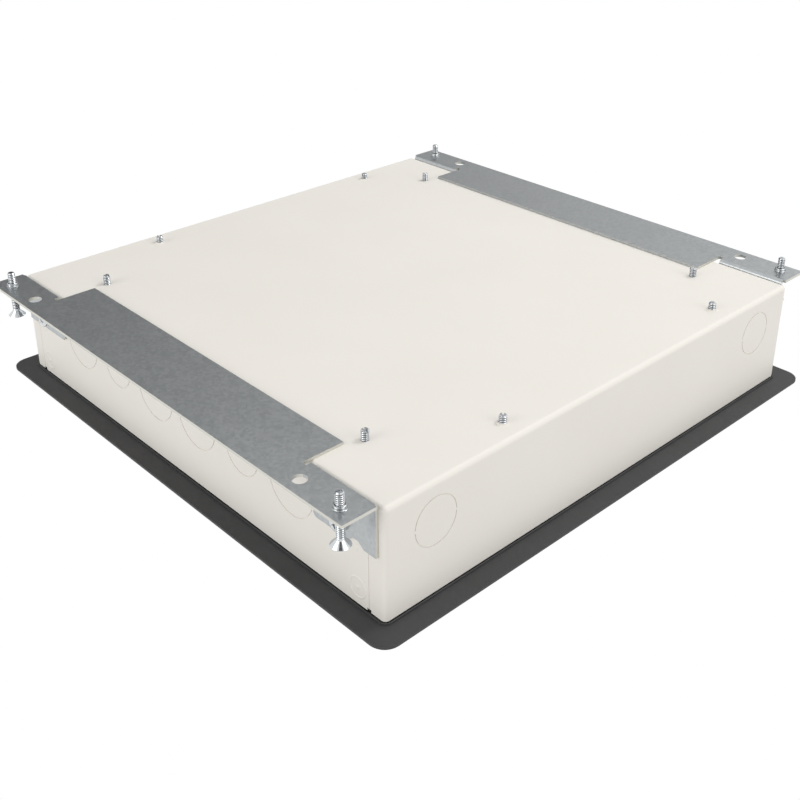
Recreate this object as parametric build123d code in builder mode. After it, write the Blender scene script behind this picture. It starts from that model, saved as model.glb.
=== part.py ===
from build123d import *
import os
from math import asin, cos, radians, sin, tan

# Floor socket box: a shallow folded steel box that stands on two levelling
# brackets and is closed by a moulded trim frame with a hinged lid.
# Millimetres, +Z up to the lid, origin on the floor under the box's centre.

# Box body
BOX_W = 300.0               # outer width of the square box
BOX_DEPTH = 56.4            # outer face of the base to the rim
SHEET = 1.2                 # steel sheet of the box
BEND_R = 2.4                # outer bend radius of the folded edges
LIP_W = 9.0                 # width of the rim's inward lip
LIP_CORNER_R = 2.0
SEAM_INSET = 9.8            # vertical corner seam, measured from the box's corner
SEAM_GAP = 0.25
SEAM_DEPTH = 0.2
SEAM_NOTCH_W = 2.6
SEAM_NOTCH_H = 1.3
BASE_COLLAR_H = 0.5         # collars of the short base screws, below the base

# Knockouts of the conduit entries
KNOCKOUT_LARGE_D = 30.0
KNOCKOUT_SMALL_D = 24.0
KNOCKOUT_RISE = 19.6        # centre above the base's outer face
KNOCKOUT_PITCH = 36.0       # spacing along a side wall
KNOCKOUT_END_IN = 28.6      # centre of the two in an end wall, from its corner
KNOCKOUT_SLIT = 0.45        # width of the scored ring
KNOCKOUT_GROOVE = 0.35      # its depth from outside
KNOCKOUT_TAB = 1.2          # web left level with the disc's centre, each side

# Levelling brackets
BRACKET_T = 1.5
STRIP_REACH = 20.0          # outer edge of the strip, from the box's side
STRIP_IN = 2.1              # end of the strip, from the box's corner
TONGUE_IN = 45.7            # end of the tongue, from the box's corner
TONGUE_REACH = 18.2         # how far the tongue lies under the base
TAB_LENGTH = 39.4
TAB_IN = 3.6                # outer end of a tab, from the box's corner
TAB_RISE = 25.0             # top of the tabs above the base's outer face
TAB_CHAMFER = 1.6
TAB_NOTCH_IN = 16.0
TAB_NOTCH_W = 10.0
TAB_NOTCH_DEPTH = 2.7
TAB_NOTCH_ANGLE = 38.0
RELIEF_DEPTH = 4.2          # relief slot between a tab and the tongue
END_RELIEF_DEPTH = 2.1      # step at the strip's end, beyond a tab
TAB_SLOT_L = 7.3            # slot for the tab screw, along the wall
BRACKET_BEND_R = 2.4
ANCHOR_HOLE_D = 7.0
ANCHOR_OUT = 12.3           # anchor holes, from the box's side
ANCHOR_IN = 37.0            # anchor holes, from the box's corner

# Screws
M4_R = 2.0
THREAD_FIT = 0.02           # radial gap of a fixed screw in its thread
RUNNING_FIT = 0.05          # radial gap of a pin or screw that turns
CLEARANCE_HOLE = 0.3        # radial gap of a fixed screw in a plain hole
CUT = 1.0                   # overrun of a cut through a wall
TIP_CHAMFER = 0.5
PAN_HEAD_R = 4.2
PAN_HEAD_H = 3.0
PAN_SIDE_H = 1.35
PAN_TOP_R = 2.3
PAN_BULGE = 0.45            # rise of the crowned shoulder over its chord
WASHER_R = 4.6
WASHER_T = 1.0
CSK_HEAD_R = 4.5
CSK_RIM = 0.3
FRAME_SCREW_R = 1.5
FRAME_SCREW_HEAD_R = 3.0
CSK_ANGLE = 90.0
CSK_GAP = 0.3               # radial gap round a countersunk head
LEVEL_OUT = 12.7            # levelling screws, from the box's side
LEVEL_IN = 11.7             # levelling screws, from the box's corner
LEVEL_LENGTH = 25.4
LEVEL_BELOW = 7.5           # tip below the bracket
COLLAR_R = 2.9
COLLAR_H = 1.2
TAB_SCREW_IN = 25.0
TAB_SCREW_RISE = 17.7
TAB_SCREW_REACH = 6.0       # tip inside the box wall
CARRIER_SCREW_IN = 27.5     # long base screws, from the box's side
CARRIER_SCREW_OUT = 8.5     # and beyond the carrier's cheek
CARRIER_SCREW_BELOW = 6.8   # tip below the base
SUPPORT_SCREW_LEFT = 80.8   # short base screws, from the left side
SUPPORT_SCREW_RIGHT = 55.8  # and from the right side
SUPPORT_SCREW_IN = 11.7     # and from the end walls
SUPPORT_SCREW_BELOW = 4.5

# Trim frame, gasket and lid
GASKET_T = 1.0
GASKET_W = 6.0
FLANGE_REACH = 11.5         # flange beyond the box, all round
FLANGE_T = 2.2
FLANGE_CORNER_R = 8.5
FLANGE_BEVEL = 1.0
RIB_GAP = 0.5               # locating rib round the box, from its side
RIB_W = 0.6
RIB_H = 0.9                 # rib below the flange
RIB_ROUND = 0.2
OPENING_IN = 12.0           # clear opening of the frame, from the box's side
OPENING_R = 4.0
SKIRT_T = 1.6
SKIRT_DROP = 12.4           # skirt below the flange's underside
SKIRT_CORNER_R = 2.0
LEDGE_W = 5.0               # ledge that carries the lid
LEDGE_T = 3.5
LID_GAP = 0.6               # lid to opening, each side
LID_SEAT = 0.3              # lid above the ledge
LID_WALL = 3.0
LID_LEDGE_W = 12.0
LID_LEDGE_T = 2.0
LID_PLATE_T = 1.5
LID_PLATE_FIT = 0.2
LID_BAR = 30.0              # depth of the lid's front bar
LID_RECESS_R = 1.0
HINGE_INSET = 3.0           # hinge axis from the lid's rear face and top
HINGE_PIN_R = 1.6
HINGE_PIN_REACH = 9.0       # pin inside the lid
HINGE_BOSS_R = 3.0
HINGE_BOSS_L = 12.0
HINGE_BOSS_DROP = 0.5       # boss below the finished top
PIN_CHAMFER = 0.3

# Lifting handle and cable flaps in the lid's front bar
HANDLE_W = 70.0
HANDLE_DEPTH = 16.0
HANDLE_T = 3.0
HANDLE_SIDE_GAP = 1.0
FINGER_GAP = 5.2            # behind the handle, for the fingers
HANDLE_POCKET_SINK = 8.0
HANDLE_KNUCKLE_R = 2.4
HANDLE_PIN_R = 1.25
HANDLE_WINDOW_W = 40.0
HANDLE_WINDOW_D = 7.0
FLAP_IN = 59.4              # centre of a cable flap, from the lid's side
FLAP_W = 56.0
FLAP_DEPTH = 22.0
FLAP_T = 3.0
FLAP_GAP = 0.4
FLAP_KNUCKLE_R = 2.4
FLAP_PIN_R = 1.25
FLAP_STOP = 2.0             # ledge under the flap's sides
FLAP_STOP_L = 11.0
PIN_SEAT = 4.0              # length of a pin's end in its wall

# Accessory carriers
CARRIER_T = 1.2
CARRIER_IN = 54.0           # lower edge of the inclined panel, from the box's side
CARRIER_TILT = 75.0         # panel above the floor at its steepest, degrees
CARRIER_LID_GAP = 1.2       # at least, between the carrier and the lid plate
CARRIER_PANEL = 48.0        # length of the panel up its slope
CARRIER_SPARE = 9.0         # panel beyond the row of modules, each end
CARRIER_TOP_IN = 19.6       # outer edge of the carrier's top, from the box's side
CARRIER_FOOT_L = 18.0
CARRIER_FOOT_W = 22.0
ROW_RISE = 0.8              # middle of the modules above the panel's middle

# 45 mm accessory modules
MODULE = 45.0
MODULE_COUNT = 4
MODULE_GAP = 0.3
MODULE_FACE_T = 2.0
MODULE_CORNER_R = 1.0
MODULE_BODY = 40.0
MODULE_BODY_DEPTH = 21.0    # behind the panel's front face
MODULE_FLOOR_GAP = 0.8
OUTLET_RECESS_R = 19.6
OUTLET_RECESS_DEPTH = 16.0
OUTLET_PIN_R = 2.6
OUTLET_PIN_PITCH = 19.0
OUTLET_PIN_DEPTH = 4.0
JACK_W = 12.0
JACK_H = 8.4
JACK_DEPTH = 14.0
ROCKER_W = 22.0
ROCKER_H = 34.0
ROCKER_T = 4.0
ROCKER_PROUD = 1.0          # rocker above the module's face
ROCKER_GAP = 0.8
ROCKER_SINK = 2.0           # free depth under the rocker
ROCKER_PIVOT_R = 1.0
ROCKER_PIVOT_SEAT = 1.2     # stub's length in the module's wall

# Lid supports and earth stud
SUPPORT_T = 1.5
SUPPORT_WEB_IN = 18.5       # web, from the box's end
SUPPORT_SPARE = 15.8        # channel beyond its screws
SUPPORT_FIT = 0.3           # channel to the end wall
EARTH_IN_X = 46.0           # stud, from the left side
EARTH_IN_Y = 23.0           # and from the rear end
EARTH_LENGTH = 14.0
EARTH_NUT_AF = 7.0
EARTH_NUT_H = 3.2

# Levels and widths that follow
strip_z = LEVEL_BELOW                        # underside of the brackets
base_z = strip_z + BRACKET_T                 # outer face of the base
floor_z = base_z + SHEET                     # inner face of the base
rim_z = base_z + BOX_DEPTH
half = BOX_W / 2
flange_w = BOX_W + 2 * FLANGE_REACH
opening_w = BOX_W - 2 * OPENING_IN
tab_end = half - TAB_IN
tab_screw_y = half - TAB_SCREW_IN
level_x = half + LEVEL_OUT
level_y = half - LEVEL_IN
strip_length = BOX_W - 2 * STRIP_IN
tongue_length = BOX_W - 2 * TONGUE_IN
row_length = MODULE_COUNT * MODULE
carrier_length = row_length + 2 * CARRIER_SPARE
carrier_foot_x = half - CARRIER_IN
carrier_end_x = half - CARRIER_TOP_IN
carrier_screw_x = half - CARRIER_SCREW_IN
carrier_screw_y = carrier_length / 2 + CARRIER_SCREW_OUT
support_screws_x = (SUPPORT_SCREW_LEFT - half, half - SUPPORT_SCREW_RIGHT)
support_screw_y = half - SUPPORT_SCREW_IN
earth_x = EARTH_IN_X - half
earth_y = half - EARTH_IN_Y
pocket_w = HANDLE_W + 2 * HANDLE_SIDE_GAP
pocket_depth = HANDLE_KNUCKLE_R + FLAP_GAP + HANDLE_DEPTH + FINGER_GAP
inner_half = half - SHEET
lip_half = inner_half - LIP_W
flange_z = rim_z + GASKET_T                  # underside of the flange
top_z = flange_z + FLANGE_T                  # finished top
open_half = opening_w / 2
skirt_half = open_half + SKIRT_T
skirt_z = flange_z - SKIRT_DROP              # lower edge of the skirt
ledge_z = skirt_z + LEDGE_T                  # where the lid rests
lid_half = open_half - LID_GAP
lid_z = ledge_z + LID_SEAT
lid_open = lid_half - LID_WALL
plate_z = lid_z + LID_LEDGE_T
flap_x = lid_half - FLAP_IN
bar_y = -lid_half + LID_BAR                  # rear edge of the front bar
hinge_y = lid_half - HINGE_INSET
hinge_z = top_z - HINGE_INSET
frame_screw_at = (lip_half + inner_half) / 2
sides = (-1, 1)
corners = [(sx, sy) for sx in sides for sy in sides]
side_names = {-1: "left", 1: "right"}
end_names = {-1: "front", 1: "rear"}

os.makedirs("parts", exist_ok=True)


def save(piece, name):
    piece.part.label = name
    export_step(piece.part, f"parts/{name}.step")


def side_wall(side):
    """Outer face of a side wall: z outwards, x along the wall, y up."""
    return Plane(origin=(side * half, 0, 0), x_dir=(0, side, 0), z_dir=(side, 0, 0))


def end_wall(side):
    """Outer face of an end wall: z outwards, x along the wall, y up."""
    return Plane(origin=(0, side * half, 0), x_dir=(-side, 0, 0), z_dir=(0, side, 0))


# Box body: one blank of sheet folded up on four sides, its rim folded inwards.
# Scored discs are the knockouts, and the base screws cut threads in plain holes.
def knockouts(plane, places):
    """Scored rings in the wall's outer face, broken by two webs each."""
    for along, diameter in places:
        with BuildSketch(plane) as ring:
            with Locations((along, base_z + KNOCKOUT_RISE)):
                Circle((diameter + KNOCKOUT_SLIT) / 2)
                Circle((diameter - KNOCKOUT_SLIT) / 2, mode=Mode.SUBTRACT)
                Rectangle(diameter + 2 * KNOCKOUT_SLIT, KNOCKOUT_TAB, mode=Mode.SUBTRACT)
        extrude(ring.sketch, amount=-KNOCKOUT_GROOVE, mode=Mode.SUBTRACT)


side_knockouts = []
for step, diameter in ((0.5, KNOCKOUT_LARGE_D), (1.5, KNOCKOUT_SMALL_D), (2.5, KNOCKOUT_LARGE_D)):
    side_knockouts += [(-step * KNOCKOUT_PITCH, diameter), (step * KNOCKOUT_PITCH, diameter)]
end_knockouts = [(side * (half - KNOCKOUT_END_IN), KNOCKOUT_SMALL_D) for side in sides]
carrier_screws_at = [(sx * carrier_screw_x, sy * carrier_screw_y) for sx, sy in corners]
support_screws_at = [(x, sy * support_screw_y) for x in support_screws_x for sy in sides]
frame_screws_at = [(sx * frame_screw_at, sy * frame_screw_at) for sx, sy in corners]
tab_screw_z = base_z + TAB_SCREW_RISE

with BuildPart() as box_body:
    with BuildSketch(Plane.XY.offset(base_z)):
        RectangleRounded(BOX_W, BOX_W, BEND_R)
    extrude(amount=BOX_DEPTH)
    fillet(box_body.faces().sort_by(Axis.Z)[0].edges(), BEND_R)
    with BuildSketch(Plane.XY.offset(floor_z)):
        RectangleRounded(2 * inner_half, 2 * inner_half, BEND_R - SHEET)
    extrude(amount=BOX_DEPTH - 2 * SHEET, mode=Mode.SUBTRACT)
    with BuildSketch(Plane.XY.offset(rim_z - SHEET)):
        RectangleRounded(2 * lip_half, 2 * lip_half, LIP_CORNER_R)
    extrude(amount=2 * SHEET, mode=Mode.SUBTRACT)
    # collars drawn out of the sheet, in which the screws cut their threads
    with BuildSketch(Plane.XY.offset(base_z - BASE_COLLAR_H)):
        with Locations(*support_screws_at):
            Circle(COLLAR_R)
    extrude(amount=BASE_COLLAR_H)
    with BuildSketch(Plane.XY.offset(rim_z - SHEET - COLLAR_H)):
        with Locations(*frame_screws_at):
            Circle(COLLAR_R)
    extrude(amount=COLLAR_H)
    with BuildSketch(Plane.XY.offset(base_z - CUT)):
        with Locations(*carrier_screws_at, *support_screws_at):
            Circle(M4_R + THREAD_FIT)
    extrude(amount=SHEET + 2 * CUT, mode=Mode.SUBTRACT)
    with BuildSketch(Plane.XY.offset(rim_z - SHEET - COLLAR_H - CUT)):
        with Locations(*frame_screws_at):
            Circle(FRAME_SCREW_R + THREAD_FIT)
    extrude(amount=SHEET + COLLAR_H + 2 * CUT, mode=Mode.SUBTRACT)
    for side in sides:
        knockouts(side_wall(side), side_knockouts)
        knockouts(end_wall(side), end_knockouts)
        with BuildSketch(side_wall(side)):
            for end in sides:
                with Locations((end * tab_screw_y, tab_screw_z)):
                    Circle(M4_R + THREAD_FIT)
        extrude(amount=-2 * SHEET, mode=Mode.SUBTRACT)
        # corner seams, where the end wall's sheet wraps round on to the side
        with BuildSketch(side_wall(side)):
            for end in sides:
                with Locations((end * (half - SEAM_INSET), (base_z + BEND_R + rim_z) / 2)):
                    Rectangle(SEAM_GAP, rim_z - base_z - BEND_R)
        extrude(amount=-SEAM_DEPTH, mode=Mode.SUBTRACT)
        with BuildSketch(side_wall(side)):
            for end in sides:
                with Locations((end * (half - SEAM_INSET), rim_z)):
                    Rectangle(SEAM_NOTCH_W, 2 * SEAM_NOTCH_H)
        extrude(amount=-SHEET, mode=Mode.SUBTRACT)
save(box_body, "box_body")


def near(value, target):
    return abs(value - target) < 0.01


# Levelling brackets: a strip beside the box, a tongue under the base and two
# tabs folded up against the side wall, cut and bent from one zinc-coated sheet.
def make_bracket(side):
    wall_x = side * half
    tab_mid = tab_end - TAB_LENGTH / 2
    with BuildPart() as bracket:
        with BuildSketch(Plane.XY.offset(strip_z)):
            with Locations((wall_x + side * STRIP_REACH / 2, 0)):
                Rectangle(STRIP_REACH, strip_length)
            with Locations((wall_x - side * TONGUE_REACH / 2, 0)):
                Rectangle(TONGUE_REACH, tongue_length)
            for end in sides:
                relief_w = tab_end - TAB_LENGTH - tongue_length / 2
                relief_y = end * (tongue_length / 2 + relief_w / 2)
                with Locations((wall_x + side * RELIEF_DEPTH / 2, relief_y)):
                    Rectangle(RELIEF_DEPTH, relief_w, mode=Mode.SUBTRACT)
                end_w = strip_length / 2 - tab_end
                with Locations((wall_x + side * END_RELIEF_DEPTH / 2, end * (tab_end + end_w / 2))):
                    Rectangle(END_RELIEF_DEPTH, end_w, mode=Mode.SUBTRACT)
                with Locations((wall_x + side * ANCHOR_OUT, end * (half - ANCHOR_IN))):
                    Circle(ANCHOR_HOLE_D / 2, mode=Mode.SUBTRACT)
        extrude(amount=BRACKET_T)
        with BuildSketch(side_wall(side)):
            for end in sides:
                with Locations((end * tab_mid, (strip_z + base_z + TAB_RISE) / 2)):
                    Rectangle(TAB_LENGTH, base_z + TAB_RISE - strip_z)
                with Locations((end * (half - TAB_NOTCH_IN), base_z + TAB_RISE)):
                    flare = 2 * TAB_NOTCH_DEPTH / tan(radians(TAB_NOTCH_ANGLE))
                    Trapezoid(TAB_NOTCH_W + flare, 2 * TAB_NOTCH_DEPTH, TAB_NOTCH_ANGLE,
                              rotation=180, mode=Mode.SUBTRACT)
                with Locations((end * tab_screw_y, tab_screw_z)):
                    SlotOverall(TAB_SLOT_L, 2 * (M4_R + CLEARANCE_HOLE), mode=Mode.SUBTRACT)
        extrude(amount=BRACKET_T)
        outer = bracket.edges().filter_by(Axis.Y).filter_by(
            lambda e: near(e.center().Z, strip_z) and near(abs(e.center().X), half)
            and near(e.length, TAB_LENGTH))
        fillet(outer, BRACKET_BEND_R)
        inner = bracket.edges().filter_by(Axis.Y).filter_by(
            lambda e: near(e.center().Z, base_z) and near(abs(e.center().X), half + BRACKET_T))
        fillet(inner, BRACKET_BEND_R - BRACKET_T)
        inner_ends = bracket.edges().filter_by(Axis.X).filter_by(
            lambda e: near(e.center().Z, base_z + TAB_RISE)
            and near(abs(e.center().Y), tab_end - TAB_LENGTH))
        chamfer(inner_ends, TAB_CHAMFER)
        with BuildSketch(Plane.XY.offset(strip_z - COLLAR_H)):
            for end in sides:
                with Locations((side * level_x, end * level_y)):
                    Circle(COLLAR_R)
        extrude(amount=COLLAR_H)
        with BuildSketch(Plane.XY.offset(strip_z - COLLAR_H - CUT)):
            for end in sides:
                with Locations((side * level_x, end * level_y)):
                    Circle(M4_R + RUNNING_FIT)
        extrude(amount=BRACKET_T + COLLAR_H + 2 * CUT, mode=Mode.SUBTRACT)
    return bracket


for side in sides:
    save(make_bracket(side), f"levelling_bracket_{side_names[side]}")


# Screws: revolved blanks, one function for each head. The plane's z runs from
# the tip to the head, with its origin where the head seats.
def pan_screw(plane, length):
    with BuildPart(mode=Mode.PRIVATE) as screw:
        with BuildSketch(Plane.XZ):
            with BuildLine():
                Polyline((0, -length), (M4_R - TIP_CHAMFER, -length),
                         (M4_R, -length + TIP_CHAMFER), (M4_R, 0), (PAN_HEAD_R, 0),
                         (PAN_HEAD_R, PAN_SIDE_H))
                SagittaArc((PAN_HEAD_R, PAN_SIDE_H), (PAN_TOP_R, PAN_HEAD_H), -PAN_BULGE)
                Polyline((PAN_TOP_R, PAN_HEAD_H), (0, PAN_HEAD_H), (0, -length))
            make_face()
        revolve(axis=Axis.Z)
    return plane * screw.part


def csk_screw(plane, length, shank_r=M4_R, head_r=CSK_HEAD_R):
    cone = head_r - shank_r
    with BuildPart(mode=Mode.PRIVATE) as screw:
        with BuildSketch(Plane.XZ):
            with BuildLine():
                Polyline((0, -length), (shank_r - TIP_CHAMFER, -length),
                         (shank_r, -length + TIP_CHAMFER), (shank_r, -cone - CSK_RIM),
                         (head_r, -CSK_RIM), (head_r, 0), (0, 0), (0, -length))
            make_face()
        revolve(axis=Axis.Z)
    return plane * screw.part


def washer(plane):
    with BuildPart(mode=Mode.PRIVATE) as ring:
        with BuildSketch(Plane.XY):
            Circle(WASHER_R)
            Circle(M4_R + CLEARANCE_HOLE, mode=Mode.SUBTRACT)
        extrude(amount=WASHER_T)
    return plane * ring.part


def save_group(pieces, name):
    group = Compound(label=name, children=list(pieces))
    export_step(group, f"parts/{name}.step")


for sx, sy in corners:
    seat = Plane(origin=(sx * level_x, sy * level_y, LEVEL_LENGTH))
    with BuildPart() as levelling_screw:
        add(csk_screw(seat, LEVEL_LENGTH))
    save(levelling_screw, f"levelling_screw_{end_names[sy]}_{side_names[sx]}")

tab_seats = [
    Plane(origin=(sx * (half + BRACKET_T), sy * tab_screw_y, tab_screw_z),
          x_dir=(0, 1, 0), z_dir=(sx, 0, 0))
    for sx, sy in corners
]
save_group([washer(seat) for seat in tab_seats], "bracket_washers")
save_group([pan_screw(seat.offset(WASHER_T), WASHER_T + BRACKET_T + TAB_SCREW_REACH)
            for seat in tab_seats], "bracket_screws")

carrier_seat_z = floor_z + CARRIER_T
carrier_screw_length = carrier_seat_z - base_z + CARRIER_SCREW_BELOW
save_group([pan_screw(Plane(origin=(x, y, carrier_seat_z)), carrier_screw_length)
            for x, y in carrier_screws_at], "carrier_screws")
support_seat_z = floor_z + SUPPORT_T
support_screw_length = support_seat_z - base_z + SUPPORT_SCREW_BELOW
save_group([pan_screw(Plane(origin=(x, y, support_seat_z)), support_screw_length)
            for x, y in support_screws_at], "support_screws")


# Accessory carriers: inclined panels along both side walls, with an aperture for
# four modules, a top flange, end cheeks and feet that the long screws hold.
# In a shallower box the panels lie flatter.
carrier_rise = min(CARRIER_PANEL * sin(radians(CARRIER_TILT)), lid_z - CARRIER_LID_GAP - floor_z)
carrier_tilt = asin(carrier_rise / CARRIER_PANEL)


def carrier_plane(side):
    """Front face of the inclined panel: x up the slope, z towards the well."""
    return Plane(origin=(side * carrier_foot_x, 0, floor_z),
                 x_dir=(side * cos(carrier_tilt), 0, sin(carrier_tilt)),
                 z_dir=(-side * sin(carrier_tilt), 0, cos(carrier_tilt)))


carrier_top_z = floor_z + carrier_rise
carrier_top_x = carrier_foot_x + CARRIER_PANEL * cos(carrier_tilt)
panel_back = CARRIER_T / sin(carrier_tilt)       # panel's thickness, level
panel_lean = CARRIER_T / tan(carrier_tilt)       # its run over that thickness
row_mid = CARRIER_PANEL / 2 + ROW_RISE       # middle of the modules, up the slope


def make_carrier(side):
    with BuildPart() as carrier:
        # section in the XZ plane, drawn for the right side and mirrored by sign
        with BuildSketch(Plane.XZ.offset(-carrier_length / 2)):
            with BuildLine():
                Polyline((side * carrier_foot_x, floor_z),
                         (side * carrier_top_x, carrier_top_z),
                         (side * carrier_end_x, carrier_top_z),
                         (side * carrier_end_x, carrier_top_z - CARRIER_T),
                         (side * (carrier_top_x + panel_back - panel_lean), carrier_top_z - CARRIER_T),
                         (side * (carrier_foot_x + panel_back), floor_z),
                         close=True)
            make_face()
        extrude(amount=carrier_length)
        # end cheeks
        for end in sides:
            cheek_y = end * (carrier_length / 2 - CARRIER_T / 2)
            with BuildSketch(Plane.XZ.offset(-cheek_y - CARRIER_T / 2)):
                with BuildLine():
                    Polyline((side * carrier_foot_x, floor_z),
                             (side * carrier_top_x, carrier_top_z),
                             (side * carrier_end_x, carrier_top_z),
                             (side * (carrier_screw_x + CARRIER_FOOT_W / 2), floor_z),
                             close=True)
                make_face()
            extrude(amount=CARRIER_T)
            foot_y = end * (carrier_length / 2 + CARRIER_FOOT_L / 2)
            with BuildSketch(Plane.XY.offset(floor_z)):
                with Locations((side * carrier_screw_x, foot_y)):
                    Rectangle(CARRIER_FOOT_W, CARRIER_FOOT_L)
            extrude(amount=CARRIER_T)
        with BuildSketch(carrier_plane(side)):
            with Locations((row_mid, 0)):
                Rectangle(MODULE_BODY + 2 * MODULE_GAP,
                          row_length - MODULE + MODULE_BODY + 2 * MODULE_GAP)
        extrude(amount=-MODULE_BODY_DEPTH, mode=Mode.SUBTRACT)
        with BuildSketch(Plane.XY.offset(floor_z - CUT)):
            with Locations(*carrier_screws_at):
                Circle(M4_R + CLEARANCE_HOLE)
        extrude(amount=CARRIER_T + 2 * CUT, mode=Mode.SUBTRACT)
    return carrier


carrier_names = {-1: "power_carrier", 1: "data_carrier"}
for side in sides:
    save(make_carrier(side), carrier_names[side])


# Modules: 45 mm square fronts on the panels, with a body behind each.
def module_place(index):
    return (row_mid, (index - (MODULE_COUNT - 1) / 2) * MODULE)


def module_blank(side, index):
    """Front and body of one module, before its features are cut."""
    front = carrier_plane(side)
    with BuildSketch(front) as cover:
        with Locations(module_place(index)):
            RectangleRounded(MODULE - MODULE_GAP, MODULE - MODULE_GAP, MODULE_CORNER_R)
    extrude(cover.sketch, amount=MODULE_FACE_T)
    with BuildSketch(front) as body:
        with Locations(module_place(index)):
            Rectangle(MODULE_BODY, MODULE_BODY)
    extrude(body.sketch, amount=-MODULE_BODY_DEPTH)
    # lower rear corner cut back to clear the floor
    with BuildSketch(Plane.XY.offset(floor_z + MODULE_FLOOR_GAP)) as floor_cut:
        with Locations((side * carrier_foot_x, 0)):
            Rectangle(2 * BOX_DEPTH, BOX_W)
    extrude(floor_cut.sketch, amount=-BOX_DEPTH, mode=Mode.SUBTRACT)


for index in (0, 1, 2):
    with BuildPart() as socket_outlet:
        module_blank(-1, index)
        face = carrier_plane(-1).offset(MODULE_FACE_T)
        with BuildSketch(face):
            with Locations(module_place(index)):
                Circle(OUTLET_RECESS_R)
        extrude(amount=-OUTLET_RECESS_DEPTH, mode=Mode.SUBTRACT)
        with BuildSketch(face.offset(-OUTLET_RECESS_DEPTH)):
            with Locations(module_place(index)):
                with GridLocations(OUTLET_PIN_PITCH, OUTLET_PIN_PITCH, 1, 2):
                    Circle(OUTLET_PIN_R)
        extrude(amount=-OUTLET_PIN_DEPTH, mode=Mode.SUBTRACT)
    save(socket_outlet, f"socket_outlet_{index + 1}")

# Switch: the rocker turns on two stubs in the walls of the module's pocket.
switch_at = module_place(3)
rocker_face = carrier_plane(-1).offset(MODULE_FACE_T)
pivot_centre = carrier_plane(-1).from_local_coords((*switch_at, MODULE_FACE_T - ROCKER_T / 2))
pivot_plane = Plane(origin=pivot_centre, z_dir=(0, 1, 0))
with BuildPart() as switch_module:
    module_blank(-1, 3)
    with BuildSketch(rocker_face):
        with Locations(switch_at):
            Rectangle(ROCKER_H, ROCKER_W)
    extrude(amount=-ROCKER_T - ROCKER_SINK, mode=Mode.SUBTRACT)
    with BuildSketch(pivot_plane):
        Circle(ROCKER_PIVOT_R + RUNNING_FIT)
    extrude(amount=ROCKER_W / 2 + ROCKER_PIVOT_SEAT + CLEARANCE_HOLE, both=True,
            mode=Mode.SUBTRACT)
save(switch_module, "switch_module")

with BuildPart() as switch_rocker:
    with BuildSketch(rocker_face.offset(-ROCKER_T)):
        with Locations(switch_at):
            Rectangle(ROCKER_H - 2 * ROCKER_GAP, ROCKER_W - 2 * ROCKER_GAP)
    extrude(amount=ROCKER_T + ROCKER_PROUD)
    with BuildSketch(pivot_plane):
        Circle(ROCKER_PIVOT_R)
    extrude(amount=ROCKER_W / 2 + ROCKER_PIVOT_SEAT, both=True)
save(switch_rocker, "switch_rocker")

for index in (0, 1):
    with BuildPart() as data_outlet:
        module_blank(1, index)
        face = carrier_plane(1).offset(MODULE_FACE_T)
        with BuildSketch(face):
            with Locations(module_place(index)):
                Rectangle(JACK_H, JACK_W)
        extrude(amount=-JACK_DEPTH, mode=Mode.SUBTRACT)
    save(data_outlet, f"data_outlet_{index + 1}")

for index in (2, 3):
    with BuildPart() as blank_module:
        module_blank(1, index)
    save(blank_module, f"blank_module_{index - 1}")


# Lid supports: channels across both ends of the well that carry the trim frame.
support_mid = sum(support_screws_x) / 2
support_length = support_screws_x[1] - support_screws_x[0] + 2 * SUPPORT_SPARE
for end in sides:
    with BuildPart() as lid_support:
        web = end * (half - SUPPORT_WEB_IN)
        outer = end * (inner_half - SUPPORT_FIT)
        ledge_edge = end * skirt_half
        with BuildSketch(Plane.YZ.offset(support_mid - support_length / 2)):
            with BuildLine():
                Polyline((web, floor_z), (outer, floor_z), (outer, floor_z + SUPPORT_T),
                         (web + end * SUPPORT_T, floor_z + SUPPORT_T),
                         (web + end * SUPPORT_T, skirt_z - SUPPORT_T),
                         (ledge_edge, skirt_z - SUPPORT_T), (ledge_edge, skirt_z),
                         (web, skirt_z), close=True)
            make_face()
        extrude(amount=support_length)
        with BuildSketch(Plane.XY.offset(floor_z - CUT)):
            with Locations(*[(x, end * support_screw_y) for x in support_screws_x]):
                Circle(M4_R + CLEARANCE_HOLE)
        extrude(amount=SUPPORT_T + 2 * CUT, mode=Mode.SUBTRACT)
    save(lid_support, f"lid_support_{end_names[end]}")


# Earth stud: welded to the base, with two washers and two nuts for the tags.
with BuildPart() as earth_stud:
    with BuildSketch(Plane.XY.offset(floor_z)):
        with Locations((earth_x, earth_y)):
            Circle(M4_R)
    extrude(amount=EARTH_LENGTH)
save(earth_stud, "earth_stud")


def earth_ring(z, height, hexagon):
    with BuildPart(mode=Mode.PRIVATE) as ring:
        with BuildSketch(Plane.XY.offset(z)):
            with Locations((earth_x, earth_y)):
                if hexagon:
                    RegularPolygon(EARTH_NUT_AF / 2, 6, major_radius=False)
                else:
                    Circle(WASHER_R)
                Circle(M4_R + THREAD_FIT, mode=Mode.SUBTRACT)
        extrude(amount=height)
    return ring.part


save_group([earth_ring(floor_z, EARTH_NUT_H, True),
            earth_ring(floor_z + EARTH_NUT_H + 2 * WASHER_T, EARTH_NUT_H, True)], "earth_nuts")
save_group([earth_ring(floor_z + EARTH_NUT_H, WASHER_T, False),
            earth_ring(floor_z + EARTH_NUT_H + WASHER_T, WASHER_T, False)], "earth_washers")


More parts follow.
